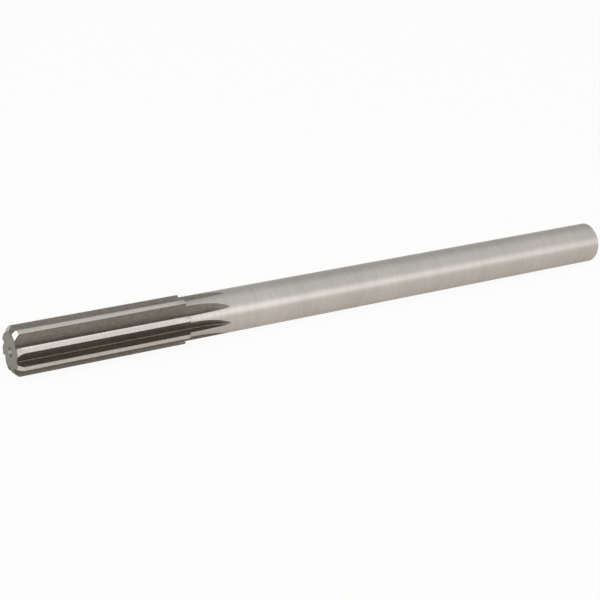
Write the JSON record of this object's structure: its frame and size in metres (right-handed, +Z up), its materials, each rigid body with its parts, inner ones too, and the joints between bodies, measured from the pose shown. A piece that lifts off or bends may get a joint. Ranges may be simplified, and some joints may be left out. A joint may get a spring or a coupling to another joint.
{
  "type": "machine reamer",
  "caption": "Straight-shank machine reamer with straight flutes; it finishes a drilled hole to size while a chuck or collet holds its plain shank.",
  "frame": {"origin": "centre of the shank's end face, on the tool's axis", "axes": "+X along the tool's axis from the shank end towards the cutting end, +Z up as the tool lies on two neighbouring teeth, +Y to complete a right-handed set"},
  "size_m": [0.2286, 0.0152, 0.0152],
  "materials": {
    "steel": "bright ground high-speed steel, flutes as milled and hardened"
  },
  "bodies": {
    "root": {"reamer": "steel"}
  },
  "joints": []
}
